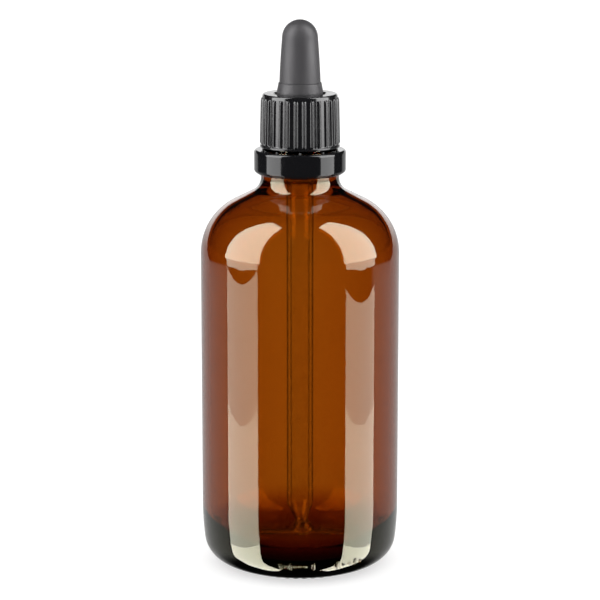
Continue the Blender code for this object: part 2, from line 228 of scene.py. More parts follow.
@dataclass(frozen=True)
class Thread:
    """A right-hand thread pressed out of a round wall.

    Args:
        wall_r: The radius of the wall. Not used.
        height: How far the crest stands off the wall. It is negative where it points inwards.
        first_z: The height of the thread's start, at the +X side.
        pitch: The climb in one turn.
        turns: The number of turns.
        root: Half the ridge's width at the wall.
        crest: Half the ridge's width at its top.
    """

    wall_r: float
    height: float
    first_z: float
    pitch: float = 3.0 * MM
    turns: float = 1.25
    root: float = 0.75 * MM
    crest: float = 0.4 * MM

    def offset(self, angle: float, z: float) -> float:
        """Returns how far the wall stands off its radius at an angle and height."""
        best = 0.0
        for lap in range(math.ceil(self.turns) + 1):
            along = angle / TAU + lap
            if along > self.turns:
                break
            distance = abs(z - self.first_z - self.pitch * along)
            ridge = smooth_step((self.root - distance) / (self.root - self.crest))
            fade = smooth_step(along / 0.06) * smooth_step((self.turns - along) / 0.06)
            best = max(best, ridge * fade)
        return best * self.height

    def span(self) -> tuple[float, float]:
        """Returns the lowest and highest height that the ridge touches."""
        return self.first_z - self.root, self.first_z + self.pitch * self.turns + self.root


def fine_rows(radius: float, top: float, bottom: float, row: float) -> list[Point]:
    """Returns evenly spaced points down or up a straight wall, both ends included."""
    count = max(1, round(abs(top - bottom) / row))
    return [(radius, top + (bottom - top) * i / count) for i in range(count + 1)]


# ---------------------------------------------------------------------------
# Shader nodes
# ---------------------------------------------------------------------------


class Nodes:
    """Adds nodes to one node tree and joins them."""

    def __init__(self, tree: bpy.types.NodeTree) -> None:
        """Takes the tree to write in."""
        self.tree = tree

    def add(self, kind: str, **values: object) -> bpy.types.Node:
        """Adds a node.

        Args:
            kind: The node's type name.
            **values: Properties of the node by name.

        Returns:
            The new node.
        """
        node = self.tree.nodes.new(kind)
        for name, value in values.items():
            setattr(node, name, value)
        return node

    def link(self, source: bpy.types.NodeSocket, target: bpy.types.NodeSocket) -> None:
        """Joins two sockets."""
        self.tree.links.new(source, target)

    def noise(
        self,
        vector: bpy.types.NodeSocket,
        scale: float | bpy.types.NodeSocket,
        detail: float = 2.0,
        rough: float = 0.5,
    ) -> bpy.types.NodeSocket:
        """Adds a noise texture.

        Args:
            vector: The socket with the coordinates.
            scale: The noise's scale, as a number or a socket.
            detail: The number of octaves.
            rough: How strong the fine octaves are.

        Returns:
            The noise's value.
        """
        node = self.add("ShaderNodeTexNoise")
        self.link(vector, node.inputs["Vector"])
        self.put(scale, node.inputs["Scale"])
        node.inputs["Detail"].default_value = detail
        node.inputs["Roughness"].default_value = rough
        return node.outputs["Fac"]

    def put(self, value: float | bpy.types.NodeSocket, target: bpy.types.NodeSocket) -> None:
        """Sets a socket to a number or joins it to another socket."""
        if isinstance(value, bpy.types.NodeSocket):
            self.link(value, target)
        else:
            target.default_value = value

    def maths(
        self,
        operation: str,
        a: float | bpy.types.NodeSocket,
        b: float | bpy.types.NodeSocket = 0.0,
    ) -> bpy.types.NodeSocket:
        """Adds a maths node and returns its result."""
        node = self.add("ShaderNodeMath", operation=operation)
        self.put(a, node.inputs[0])
        self.put(b, node.inputs[1])
        return node.outputs[0]

    def fit(
        self,
        value: bpy.types.NodeSocket,
        low: float,
        high: float,
        to_low: float | bpy.types.NodeSocket = 0.0,
        to_high: float | bpy.types.NodeSocket = 1.0,
    ) -> bpy.types.NodeSocket:
        """Maps a value's range low to high onto another range, with soft ends, and returns it."""
        node = self.add("ShaderNodeMapRange", interpolation_type="SMOOTHSTEP")
        self.link(value, node.inputs["Value"])
        node.inputs["From Min"].default_value = low
        node.inputs["From Max"].default_value = high
        self.put(to_low, node.inputs["To Min"])
        self.put(to_high, node.inputs["To Max"])
        return node.outputs["Result"]

    def blend(
        self,
        share: bpy.types.NodeSocket,
        a: Colour | bpy.types.NodeSocket,
        b: Colour | bpy.types.NodeSocket,
    ) -> bpy.types.NodeSocket:
        """Mixes two colours by a share and returns the colour."""
        node = self.add("ShaderNodeMix", data_type="RGBA")
        self.link(share, node.inputs["Factor"])
        colour_inputs = [s for s in node.inputs if s.type == "RGBA"]
        for value, target in zip((a, b), colour_inputs):
            if isinstance(value, bpy.types.NodeSocket):
                self.link(value, target)
            else:
                target.default_value = (*value, 1.0)
        return next(s for s in node.outputs if s.type == "RGBA")


class EffectGroups:
    """The shader node groups that the finishes share, each built once."""

    def __init__(self) -> None:
        """Builds every group."""
        self.skin = self._skin()
        self.dust = self._dust()
        self.ripple = self._ripple()

    @staticmethod
    def _start(name: str, inputs: dict[str, float], outputs: dict[str, str]) -> Nodes:
        """Opens a new group.

        Args:
            name: The group's name.
            inputs: The number inputs with their first values.
            outputs: The outputs with their socket types.

        Returns:
            The nodes of the group.
        """
        tree = bpy.data.node_groups.new(name, "ShaderNodeTree")
        tree.interface.new_socket("Place", in_out="INPUT", socket_type="NodeSocketVector")
        for label, value in inputs.items():
            socket = tree.interface.new_socket(label, in_out="INPUT", socket_type="NodeSocketFloat")
            socket.default_value = value
        for label, kind in outputs.items():
            tree.interface.new_socket(label, in_out="OUTPUT", socket_type=kind)
        return Nodes(tree)

    def _skin(self) -> bpy.types.NodeTree:
        """Builds the moulded skin: fine spark-eroded grain, slow flow marks and handled patches."""
        nodes = self._start(
            "moulded_skin",
            {"Grain Scale": 4000.0, "Patch Scale": 120.0, "Smooth": 0.3, "Rough": 0.4},
            {"Height": "NodeSocketFloat", "Roughness": "NodeSocketFloat"},
        )
        given = nodes.add("NodeGroupInput")
        made = nodes.add("NodeGroupOutput")
        place = given.outputs["Place"]
        grain = nodes.noise(place, given.outputs["Grain Scale"], 3.0, 0.6)
        flow = nodes.noise(place, given.outputs["Patch Scale"], 2.0, 0.4)
        height = nodes.maths("ADD", grain, nodes.maths("MULTIPLY", flow, 1.6))
        patch = nodes.noise(place, given.outputs["Patch Scale"], 4.0, 0.65)
        rough = nodes.fit(patch, 0.35, 0.7, given.outputs["Smooth"], given.outputs["Rough"])
        nodes.link(height, made.inputs["Height"])
        nodes.link(rough, made.inputs["Roughness"])
        return nodes.tree

    def _dust(self) -> bpy.types.NodeTree:
        """Builds settled dust: specks and a faint film that lies more on faces that look up."""
        nodes = self._start(
            "settled_dust",
            {"Speck Scale": 2200.0, "Film": 0.1, "Specks": 0.3},
            {"Cover": "NodeSocketFloat"},
        )
        given = nodes.add("NodeGroupInput")
        made = nodes.add("NodeGroupOutput")
        place = given.outputs["Place"]
        specks = nodes.fit(nodes.noise(place, given.outputs["Speck Scale"], 1.0, 0.5), 0.72, 0.8)
        film = nodes.noise(place, 260.0, 5.0, 0.7)
        normal = nodes.add("ShaderNodeNewGeometry").outputs["Normal"]
        up = nodes.add("ShaderNodeSeparateXYZ")
        nodes.link(normal, up.inputs[0])
        lying = nodes.fit(up.outputs["Z"], -0.2, 1.0, 0.25, 1.0)
        thin = nodes.maths("MULTIPLY", nodes.maths("MULTIPLY", film, given.outputs["Film"]), lying)
        dots = nodes.maths("MULTIPLY", specks, given.outputs["Specks"])
        cover = nodes.maths("ADD", thin, nodes.maths("MULTIPLY", dots, lying))
        cover.node.use_clamp = True
        nodes.link(cover, made.inputs["Cover"])
        return nodes.tree

    def _ripple(self) -> bpy.types.NodeTree:
        """Builds the slow waviness, tone drift and touch marks of formed glass."""
        nodes = self._start(
            "formed_glass",
            {"Wave Scale": 60.0, "Stretch": 0.25, "Clean": 0.0, "Touched": 0.03},
            {"Height": "NodeSocketFloat", "Tone": "NodeSocketFloat", "Roughness": "NodeSocketFloat"},
        )
        given = nodes.add("NodeGroupInput")
        made = nodes.add("NodeGroupOutput")
        parts = nodes.add("ShaderNodeSeparateXYZ")
        nodes.link(given.outputs["Place"], parts.inputs[0])
        drawn = nodes.add("ShaderNodeCombineXYZ")
        nodes.link(parts.outputs["X"], drawn.inputs["X"])
        nodes.link(parts.outputs["Y"], drawn.inputs["Y"])
        tall = nodes.maths("MULTIPLY", parts.outputs["Z"], given.outputs["Stretch"])
        nodes.link(tall, drawn.inputs["Z"])
        wave_scale = given.outputs["Wave Scale"]
        wave = nodes.noise(drawn.outputs[0], wave_scale, 1.5, 0.4)
        slow = nodes.noise(given.outputs["Place"], nodes.maths("MULTIPLY", wave_scale, 0.5), 1.0)
        nodes.link(nodes.maths("ADD", wave, slow), made.inputs["Height"])
        tone = nodes.noise(drawn.outputs[0], nodes.maths("MULTIPLY", wave_scale, 1.3), 3.0)
        nodes.link(nodes.fit(tone, 0.3, 0.7), made.inputs["Tone"])
        marks = nodes.noise(given.outputs["Place"], 140.0, 5.0, 0.7)
        touched = nodes.fit(marks, 0.5, 0.75, given.outputs["Clean"], given.outputs["Touched"])
        nodes.link(touched, made.inputs["Roughness"])
        return nodes.tree


def placed_group(nodes: Nodes, group: bpy.types.NodeTree, values: dict[str, float]) -> bpy.types.Node:
    """Places a group in a material on Object coordinates.

    Args:
        nodes: The material's nodes.
        group: The group to place.
        values: The group's own values by input name.

    Returns:
        The group node.
    """
    node = nodes.add("ShaderNodeGroup", node_tree=group)
    place = nodes.add("ShaderNodeTexCoord")
    nodes.link(place.outputs["Object"], node.inputs["Place"])
    for name, value in values.items():
        node.inputs[name].default_value = value
    return node


def new_material(name: str) -> tuple[bpy.types.Material, Nodes, bpy.types.Node]:
    """Makes a material and returns it with its nodes and its Principled shader."""
    material = bpy.data.materials.new(name)
    material.use_nodes = True
    nodes = Nodes(material.node_tree)
    return material, nodes, material.node_tree.nodes["Principled BSDF"]


def add_bump(
    nodes: Nodes, height: bpy.types.NodeSocket, shader: bpy.types.Node, strength: float, distance: float
) -> None:
    """Bumps a shader's surface.

    Args:
        nodes: The material's nodes.
        height: The socket with the height.
        shader: The shader that gets the normal.
        strength: The bump's strength.
        distance: The bump's depth in metres.
    """
    bump = nodes.add("ShaderNodeBump")
    bump.inputs["Strength"].default_value = strength
    bump.inputs["Distance"].default_value = distance
    nodes.link(height, bump.inputs["Height"])
    nodes.link(bump.outputs["Normal"], shader.inputs["Normal"])


@dataclass(frozen=True)
class FormedGlass:
    """Glass that is formed hot: slightly wavy, with a tone that drifts, light touch marks and painted shade
    on its rims.

    Args:
        name: The material's name.
        light_tone: The palest tint that a surface gives.
        deep_tone: The deepest tint that a surface gives.
        swallowed: The colour that is left by a unit of depth.
        density: How strongly depth colours the glass, per metre.
        wave_scale: The number of waves in a metre.
        wave_depth: The depth of the waves in metres.
        touched: The roughness of touch marks.
        mirror: The level of plain reflection.
        mirror_tint: The tint of plain reflection.
        rim_painted_shade: The painted shade that the base colour takes where the surface turns away from
            the eye, which paints the rims darker.
        rim_start: How far the surface turns away before that painted shade begins, from 0 to 1.
        rim_end: How far it turns away where that painted shade is full.
    """

    name: str
    light_tone: Colour
    deep_tone: Colour
    swallowed: Colour
    density: float
    wave_scale: float
    wave_depth: float
    touched: float
    mirror: float
    mirror_tint: Colour
    rim_painted_shade: Colour
    rim_start: float
    rim_end: float

    def material(self, groups: EffectGroups) -> bpy.types.Material:
        """Makes the glass.

        Args:
            groups: The shared effects.

        Returns:
            The material.
        """
        material, nodes, shader = new_material(self.name)
        waves = {"Wave Scale": self.wave_scale, "Stretch": 0.25}
        ripple = placed_group(nodes, groups.ripple, waves | {"Clean": 0.0, "Touched": self.touched})
        shader.inputs["Transmission Weight"].default_value = 1.0
        shader.inputs["Metallic"].default_value = 0.0
        shader.inputs["IOR"].default_value = 1.5
        shader.inputs["Specular IOR Level"].default_value = self.mirror
        shader.inputs["Specular Tint"].default_value = (*self.mirror_tint, 1.0)
        tone = nodes.blend(ripple.outputs["Tone"], self.light_tone, self.deep_tone)
        # Painted shade: the base colour blends towards rim_painted_shade where the surface turns away from
        # the eye, so the rims come out darker.
        facing = nodes.add("ShaderNodeLayerWeight").outputs["Facing"]
        painted_rim_share = nodes.fit(facing, self.rim_start, self.rim_end)
        nodes.link(nodes.blend(painted_rim_share, tone, self.rim_painted_shade), shader.inputs["Base Color"])
        nodes.link(ripple.outputs["Roughness"], shader.inputs["Roughness"])
        add_bump(nodes, ripple.outputs["Height"], shader, 1.0, self.wave_depth)
        depth = nodes.add("ShaderNodeVolumeAbsorption")
        depth.inputs["Color"].default_value = (*self.swallowed, 1.0)
        depth.inputs["Density"].default_value = self.density
        nodes.link(depth.outputs[0], nodes.tree.nodes["Material Output"].inputs["Volume"])
        return material


@dataclass(frozen=True)
class MouldedPolymer:
    """Moulded plastic or rubber with grain, flow marks and settled dust.

    Args:
        name: The material's name.
        colour: The clean colour.
        dusty: The colour of dust on it.
        smooth: The roughness where it is handled.
        rough: The roughness elsewhere.
        grain_scale: The number of grains in a metre.
        grain_depth: The depth of the grain in metres.
        film: How much dust film lies on it.
        specks: How strongly dust specks show.
        specular: The level of plain reflection.
        patch_scale: The number of flow marks and handled patches in a metre.
    """

    name: str
    colour: Colour
    dusty: Colour
    smooth: float
    rough: float
    grain_scale: float
    grain_depth: float
    film: float
    specks: float
    specular: float
    patch_scale: float = 180.0

    def material(self, groups: EffectGroups) -> bpy.types.Material:
        """Makes the polymer.

        Args:
            groups: The shared effects.

        Returns:
            The material.
        """
        material, nodes, shader = new_material(self.name)
        roughness = {"Smooth": self.smooth, "Rough": self.rough}
        scales = {"Grain Scale": self.grain_scale, "Patch Scale": self.patch_scale}
        skin = placed_group(nodes, groups.skin, roughness | scales)
        dust = placed_group(nodes, groups.dust, {"Film": self.film, "Specks": self.specks})
        shader.inputs["Metallic"].default_value = 0.0
        shader.inputs["Specular IOR Level"].default_value = self.specular
        colour = nodes.blend(dust.outputs["Cover"], self.colour, self.dusty)
        nodes.link(colour, shader.inputs["Base Color"])
        nodes.link(skin.outputs["Roughness"], shader.inputs["Roughness"])
        add_bump(nodes, skin.outputs["Height"], shader, 0.6, self.grain_depth)
        return material


AMBER = FormedGlass(
    name="amber_glass",
    light_tone=(1.0, 1.0, 1.0),
    deep_tone=(0.98, 0.93, 0.86),
    swallowed=(0.844, 0.684, 0.31),
    density=2600.0,
    wave_scale=45.0,
    wave_depth=0.014 * MM,
    touched=0.02,
    mirror=0.62,
    mirror_tint=(1.0, 0.97, 0.7),
    # rim_painted_shade below is painted shade: a warm darkening of the amber where the surface turns away
    # from the eye.
    rim_painted_shade=(0.96, 0.86, 0.74),
    rim_start=0.5,
    rim_end=0.95,
)
CLEAR = FormedGlass(
    name="clear_glass",
    light_tone=(0.96, 0.97, 0.965),
    deep_tone=(0.93, 0.95, 0.94),
    swallowed=(0.7, 0.9, 0.8),
    density=12.0,
    wave_scale=80.0,
    wave_depth=0.008 * MM,
    touched=0.01,
    mirror=1.0,
    mirror_tint=(1.0, 1.0, 1.0),
    # rim_painted_shade below is painted shade: a near-black edge that outlines the pipette where its
    # surface turns away from the eye.
    rim_painted_shade=(0.03, 0.04, 0.037),
    rim_start=0.36,
    rim_end=0.64,
)
CAP_BLACK = MouldedPolymer(
    name="cap_black",
    colour=(0.007, 0.007, 0.008),
    dusty=(0.2, 0.2, 0.2),
    smooth=0.12,
    rough=0.19,
    grain_scale=5200.0,
    grain_depth=0.002 * MM,
    film=0.01,
    specks=0.12,
    specular=0.36,
)
RING_BLACK = MouldedPolymer(
    name="ring_black",
    colour=(0.006, 0.006, 0.007),
    dusty=(0.16, 0.16, 0.16),
    smooth=0.06,
    rough=0.13,
    grain_scale=3000.0,
    grain_depth=0.003 * MM,
    film=0.012,
    specks=0.12,
    specular=0.3,
)
BULB_BLACK = MouldedPolymer(
    name="bulb_black",
    colour=(0.044, 0.042, 0.045),
    dusty=(0.24, 0.23, 0.24),
    smooth=0.42,
    rough=0.56,
    grain_scale=3600.0,
    grain_depth=0.012 * MM,
    film=0.04,
    specks=0.2,
    specular=0.26,
)


# ---------------------------------------------------------------------------
# Pieces
# ---------------------------------------------------------------------------


def make_piece(
    name: str, shape: bmesh.types.BMesh, material: bpy.types.Material, crease_degrees: float
) -> bpy.types.Object:
    """Turns a shape into a shown piece.

    Args:
        name: The piece's name.
        shape: The shape, which is used up.
        material: The piece's finish.
        crease_degrees: Edges that turn by more than this stay sharp.

    Returns:
        The piece, at the origin.
    """
    shade(shape, crease_degrees)
    mesh = bpy.data.meshes.new(name)
    shape.to_mesh(mesh)
    shape.free()
    mesh.materials.append(material)
    piece = bpy.data.objects.new(name, mesh)
    bpy.context.scene.collection.objects.link(piece)
    LOG.info("%s: %d faces", name, len(mesh.polygons))
    return piece


@dataclass
class GlassBottle:
    """The moulded bottle: body, shoulder, neck with bead and thread, heel and knurled standing ring."""

    body_r: float = 23.5 * MM
    height: float = 110.0 * MM
    wall: float = 1.8 * MM
    floor_z: float = 4.5 * MM
    floor_crown: float = 0.4 * MM
    inner_heel_r: float = 9.4 * MM
    shoulder_r: float = 13.9 * MM
    shoulder_slope: float = math.radians(63.4)
    neck_r: float = 9.2 * MM
    neck_z: float = 93.7 * MM
    neck_inner_r: float = 7.3 * MM
    neck_inner_z: float = 95.4 * MM
    neck_fillet: float = 3.8 * MM
    bore_r: float = 5.9 * MM
    bore_fillet: float = 3.0 * MM
    finish_r: float = 7.3 * MM
    rim_round: float = 0.5 * MM
    bead_r: float = 9.1 * MM
    bead_z: float = 96.7 * MM
    bead_height: float = 1.3 * MM
    bead_ramp: float = 1.1 * MM
    groove_r: float = 8.2 * MM
    ledge_z: float = 95.2 * MM
    heel_z: float = 14.6 * MM
    heel_upper_r: float = 70.0 * MM
    heel_lower_r: float = 6.4 * MM
    bearing_height: float = 0.5 * MM
    bearing_width: float = 2.8 * MM
    punt_z: float = 1.8 * MM
    knurls: int = 50
    knurl_depth: float = 0.25 * MM
    columns: int = 200

    def shoulder_base(self) -> float:
        """Returns the height at which the straight body ends."""
        slope = self.shoulder_slope
        fillet_r = self.neck_r + self.neck_fillet * (1 - math.cos(slope))
        arc_r = self.body_r - self.shoulder_r * (1 - math.cos(slope))
        rise = (arc_r - fillet_r) / math.tan(slope)
        return self.neck_z - rise - (self.shoulder_r + self.neck_fillet) * math.sin(slope)

    def shoulder(self, offset: float, neck_r: float, fillet: float) -> list[Point]:
        """Draws the shoulder from the straight body up into the neck.

        Args:
            offset: How far the line lies inside the outer wall.
            neck_r: The radius that it ends on.
            fillet: The radius of the fillet into the neck.

        Returns:
            The points, from the body up.
        """
        slope = self.shoulder_slope
        base = self.shoulder_base()
        arc_r = self.shoulder_r - offset
        centre_r = self.body_r - self.shoulder_r
        fillet_r = neck_r + fillet * (1 - math.cos(slope))
        run = centre_r + arc_r * math.cos(slope) - fillet_r
        fillet_z = base + arc_r * math.sin(slope) + run / math.tan(slope) + fillet * math.sin(slope)
        points = arc((centre_r, base), arc_r, 0.0, slope, 26)
        points += arc((neck_r + fillet, fillet_z), fillet, math.pi + slope, math.pi, 10)
        return points

    def heel_centre(self) -> float:
        """Returns the radius at which the lower heel arc meets the standing ring."""
        drop = self.heel_z - self.heel_lower_r - self.bearing_height
        reach = self.heel_upper_r - self.heel_lower_r
        return self.body_r - self.heel_upper_r + math.sqrt(reach**2 - drop**2)

    def thread(self) -> Thread:
        """Returns the thread on the finish."""
        return Thread(self.finish_r, 0.7 * MM, self.height - 5.8 * MM)

    def inside(self) -> list[Point]:
        """Draws the inner wall from the middle of the floor up to the bore."""
        inner_r = self.body_r - self.wall
        flat_r = inner_r - self.inner_heel_r
        floor = [
            (flat_r * i / 12, self.floor_z + self.floor_crown * (1 - (i / 12) ** 2)) for i in range(12)
        ]
        heel = arc((flat_r, self.floor_z + self.inner_heel_r), self.inner_heel_r, -math.pi / 2, 0.0, 12)
        neck = rounded(
            [
                (self.neck_inner_r, self.neck_inner_z - 1.2 * MM, 0.0),
                (self.neck_inner_r, self.neck_inner_z, 1.2 * MM),
                (self.bore_r, self.neck_inner_z + 1.4 * MM, 1.2 * MM),
                (self.bore_r, self.neck_inner_z + 3.0 * MM, 0.0),
            ],
            5,
        )
        return floor + heel + self.shoulder(self.wall, self.neck_inner_r, self.bore_fillet) + neck

    def finish_line(self) -> list[Point]:
        """Draws the rim, the threaded finish, the snap bead and the ledge, downwards."""
        rim = rounded(
            [
                (self.bore_r, self.height - 3 * self.rim_round, 0.0),
                (self.bore_r, self.height, self.rim_round),
                (self.finish_r, self.height, self.rim_round),
                (self.finish_r, self.height - 2 * self.rim_round, 0.0),
            ],
            5,
        )
        low, high = self.thread().span()
        threaded = fine_rows(self.finish_r, high + 0.2 * MM, low - 0.2 * MM, 0.13 * MM)
        bead_top = self.bead_z + self.bead_height
        bead = rounded(
            [
                (self.finish_r, bead_top + 2 * self.bead_ramp, 0.0),
                (self.finish_r, bead_top + self.bead_ramp, 0.5 * MM),
                (self.bead_r, bead_top, 0.4 * MM),
                (self.bead_r, self.bead_z + 0.2 * self.bead_height, 0.25 * MM),
                (self.groove_r, self.bead_z, 0.2 * MM),
                (self.groove_r, self.ledge_z + 0.15 * MM, 0.2 * MM),
                (self.neck_r, self.ledge_z, 0.25 * MM),
                (self.neck_r, self.ledge_z - 1.0 * MM, 0.0),
            ],
            4,
        )
        return rim + threaded + bead

    def base(self) -> list[Point]:
        """Draws the heel, the standing ring and the hollow under the base, ending on the axis."""
        heel_r = self.heel_centre()
        lower_z = self.bearing_height + self.heel_lower_r
        meet = math.asin((self.heel_z - lower_z) / (self.heel_upper_r - self.heel_lower_r))
        heel = arc((self.body_r - self.heel_upper_r, self.heel_z), self.heel_upper_r, 0.0, -meet, 8)
        heel += arc((heel_r, lower_z), self.heel_lower_r, -meet, -math.pi / 2, 16)[1:]
        inner_r = heel_r - self.bearing_width
        ring = rounded(
            [
                (heel_r, self.bearing_height, 0.0),
                (heel_r, 0.0, 0.15 * MM),
                (inner_r, 0.0, 0.2 * MM),
                (inner_r - self.bearing_height, self.bearing_height, 0.3 * MM),
                (0.5 * inner_r, 0.25 * self.bearing_height + 0.75 * self.punt_z, 2.0 * MM),
                (0.0, self.punt_z, 0.0),
            ],
            4,
        )
        return heel + ring[1:]

    def outline(self) -> list[Point]:
        """Draws the whole section, from the middle of the inner floor to the middle of the base."""
        outside = self.shoulder(0.0, self.neck_r, self.neck_fillet)
        outside.reverse()
        line = self.inside() + self.finish_line() + outside + self.base()
        return supported(line, 0.35 * MM)

    def press(self, radius: float, angle: float, z: float) -> float:
        """Returns the radius of a point once the thread stands on the finish."""
        if abs(radius - self.finish_r) < MERGE_DISTANCE:
            return radius + self.thread().offset(angle, z)
        return radius

    def knurl(self, shape: bmesh.types.BMesh) -> None:
        """Presses the knurls in the standing ring."""
        low_r = self.heel_centre() - self.bearing_width - 0.1 * MM
        for vert in shape.verts:
            radius = math.hypot(vert.co.x, vert.co.y)
            if vert.co.z > 0.3 * self.bearing_height or radius < low_r:
                continue
            turn = math.atan2(vert.co.y, vert.co.x) / TAU * self.knurls
            share = abs((turn % 1.0) - 0.5)
            vert.co.z += self.knurl_depth * smooth_step((0.3 - share) / 0.16)

    def build(self, material: bpy.types.Material) -> bpy.types.Object:
        """Builds the bottle.

        Args:
            material: The glass.

        Returns:
            The piece.
        """
        shape = turned(self.outline(), self.columns)
        reshape(shape, self.press)
        self.knurl(shape)
        return make_piece("bottle_glass", shape, material, 38.0)


@dataclass
class HeelMarks:
    """Plain raised dots and bars on the heel, as a mould leaves them.

    Args:
        bottle: The bottle that they stand on.
        dot_r: The radius of a dot.
        rise: How far a mark stands off the glass.
        tilt: The angle of the marks round the lower heel, below the level.
        bar_share: The height of a bar as a share of a dot's.
        dots: The angles of the dots in degrees from the front.
        bars: The angles of the bars in degrees from the front.
    """

    bottle: GlassBottle
    dot_r: float = 0.45 * MM
    rise: float = 0.28 * MM
    tilt: float = math.radians(-18.0)
    bar_share: float = 2.4
    dots: tuple[float, ...] = (-8.5, -3.0, 0.0, 3.0, 26.5, 30.5, 38.5)
    bars: tuple[float, ...] = (-11.5, -5.7, 8.0, 22.5, 34.5)

    def place(self, degrees: float) -> Matrix:
        """Returns the place of a mark that stands at an angle from the front on the lower heel."""
        centre_r = self.bottle.heel_centre()
        centre_z = self.bottle.bearing_height + self.bottle.heel_lower_r
        turn = Matrix.Rotation(math.radians(degrees - 90.0), 4, "Z")
        out = Matrix.Translation((centre_r, 0.0, centre_z))
        lean = Matrix.Rotation(-self.tilt, 4, "Y")
        surface = Matrix.Translation((self.bottle.heel_lower_r, 0.0, 0.0))
        return turn @ out @ lean @ surface

    def build(self, material: bpy.types.Material) -> bpy.types.Object:
        """Builds the marks.

        Args:
            material: The glass.

        Returns:
            The piece.
        """
        shape = bmesh.new()
        marks = [(degrees, 1.0) for degrees in self.dots]
        marks += [(degrees, self.bar_share) for degrees in self.bars]
        for degrees, tall in marks:
            size = Matrix.Diagonal((self.rise, self.dot_r, self.dot_r * tall, 1.0))
            bmesh.ops.create_icosphere(
                shape, subdivisions=3, radius=1.0, matrix=self.place(degrees) @ size
            )
        bmesh.ops.recalc_face_normals(shape, faces=shape.faces[:])
        return make_piece("heel_marks", shape, material, 60.0)


@dataclass
class ScrewCap:
    """The ribbed cap with its thread, its top plate and the hole that the bulb stands in."""

    top_z: float = 113.4 * MM
    bottom_z: float = 100.9 * MM
    plate: float = 1.5 * MM
    top_r: float = 8.8 * MM
    bottom_r: float = 9.05 * MM
    edge: float = 0.45 * MM
    inner_r: float = 8.25 * MM
    hole_r: float = 5.95 * MM
    hole_edge: float = 0.3 * MM
    foot_height: float = 0.5 * MM
    foot_r: float = 9.386 * MM
    ribs: int = 30
    rib_r: float = 0.42 * MM
    rib_top: float = 1.0 * MM
    columns_per_rib: int = 16

    def thread(self) -> Thread:
        """Returns the thread on the inner wall."""
        return Thread(self.inner_r, -0.7 * MM, 102.7 * MM)

    def outline(self) -> list[Point]:
        """Draws the section, closed on itself."""
        foot_z = self.bottom_z + self.foot_height
        rib_top_z = self.top_z - self.rib_top
        outer = rounded(
            [
                (self.hole_r + self.hole_edge, self.top_z, 0.0),
                (self.top_r, self.top_z, self.edge),
                (self.top_r + 0.01 * MM, rib_top_z + 0.15 * MM, 0.0),
            ],
            7,
        )
        rise = (self.bottom_r - self.top_r) / (self.top_z - self.bottom_z)
        for i in range(13):
            z = rib_top_z + 0.1 * MM - 1.2 * MM * (i / 12) ** 1.4
            outer.append((self.top_r + (self.top_z - z) * rise, z))
        under = rounded(
            [
                (self.bottom_r, foot_z + 0.4 * MM, 0.0),
                (self.bottom_r, foot_z, 0.12 * MM),
                (self.foot_r, foot_z, 0.12 * MM),
                (self.foot_r, self.bottom_z, 0.12 * MM),
                (self.inner_r + 0.2 * MM, self.bottom_z, 0.1 * MM),
                (self.inner_r, self.bottom_z + 0.3 * MM, 0.0),
            ],
            3,
        )
        low, high = self.thread().span()
        low = max(low, self.bottom_z + 0.45 * MM)
        threaded = fine_rows(self.inner_r, low, high + 0.2 * MM, 0.16 * MM)
        inner = rounded(
            [
                (self.inner_r, high + 0.5 * MM, 0.0),
                (self.inner_r, self.top_z - self.plate, 0.3 * MM),
                (self.hole_r, self.top_z - self.plate, 0.1 * MM),
                (self.hole_r, self.top_z - self.hole_edge, 0.08 * MM),
                (self.hole_r + self.hole_edge, self.top_z, 0.0),
            ],
            3,
        )
        return supported(outer + under + threaded + inner, 0.3 * MM)

    def gather(self, shape: bmesh.types.BMesh) -> None:
        """Slides the columns towards the ribs, where the shape needs them."""
        pitch = TAU / self.ribs
        for vert in shape.verts:
            radius = math.hypot(vert.co.x, vert.co.y)
            angle = math.atan2(vert.co.y, vert.co.x) % TAU
            index = math.floor(angle / pitch + 0.5)
            local = angle / pitch - index
            slid = local * (0.62 + 1.52 * local * local)
            turn = (index + slid) * pitch
            vert.co.x = radius * math.cos(turn)
            vert.co.y = radius * math.sin(turn)

    def press(self, radius: float, angle: float, z: float) -> float:
        """Returns the radius of a point once ribs and thread are pressed."""
        if abs(radius - self.inner_r) < MERGE_DISTANCE:
            return radius + self.thread().offset(angle, z)
        foot_z = self.bottom_z + self.foot_height
        if radius < self.top_r or z > self.top_z - self.edge or z < foot_z + 0.13 * MM:
            return radius
        pitch = TAU / self.ribs
        across = (angle / pitch - round(angle / pitch)) * pitch * radius
        if abs(across) >= self.rib_r:
            return radius
        rib = math.sqrt(self.rib_r**2 - across**2)
        room = self.top_z - self.rib_top + 0.1 * MM - z
        dome = math.sqrt(max(0.0, 1.0 - (1.0 - min(1.0, max(0.0, room / (0.8 * MM)))) ** 2))
        return radius + max(0.0, rib - 0.1 * self.rib_r) * dome

    def build(self, material: bpy.types.Material) -> bpy.types.Object:
        """Builds the cap.

        Args:
            material: The plastic.

        Returns:
            The piece.
        """
        shape = turned(self.outline(), self.ribs * self.columns_per_rib)
        self.gather(shape)
        reshape(shape, self.press)
        return make_piece("cap_shell", shape, material, 42.0)


